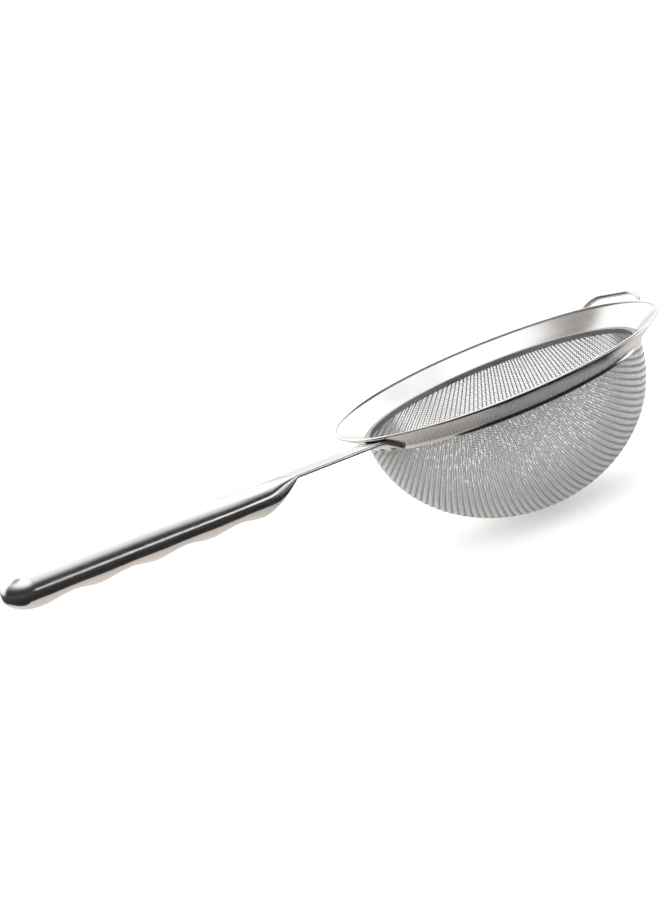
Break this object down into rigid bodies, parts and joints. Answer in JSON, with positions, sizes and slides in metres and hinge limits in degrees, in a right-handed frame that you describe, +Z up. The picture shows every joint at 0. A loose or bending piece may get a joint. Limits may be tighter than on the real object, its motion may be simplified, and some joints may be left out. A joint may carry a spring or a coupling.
{
  "type": "tea strainer",
  "caption": "Hand-held tea strainer: a woven mesh bowl clamped in a sloping round rim, a hollow finger-grip handle on a flat strap, and a wire rest that hooks over a cup.",
  "frame": {"origin": "centre of the mouth, at the level where the sloping flange turns down into the collar that grips the mesh", "axes": "+Z up, along the bowl's axis and out of the mouth; the handle runs towards -X and the wire rest stands out towards +X"},
  "size_m": [0.2131, 0.095, 0.0546],
  "materials": {
    "polished_rim": "polished stainless steel",
    "satin_ring": "satin stainless steel, darker in the mouth",
    "woven_wire": "drawn stainless wire, thick and fine wires woven over and under",
    "strap_steel": "polished stainless steel strip",
    "handle_steel": "polished stainless steel",
    "rest_wire": "bright drawn stainless wire",
    "weld_spots": "heat-tinted welds, brushed over"
  },
  "bodies": {
    "root": {"rim_flange": "polished_rim", "mesh_clamp_ring": "satin_ring", "mesh_bowl": "woven_wire", "mesh_bowl_base": "woven_wire", "strap": "strap_steel", "handle_upper_shell": "handle_steel", "handle_lower_shell": "handle_steel", "wire_rest": "rest_wire", "strap_welds": "weld_spots", "rest_welds": "weld_spots"}
  },
  "joints": []
}
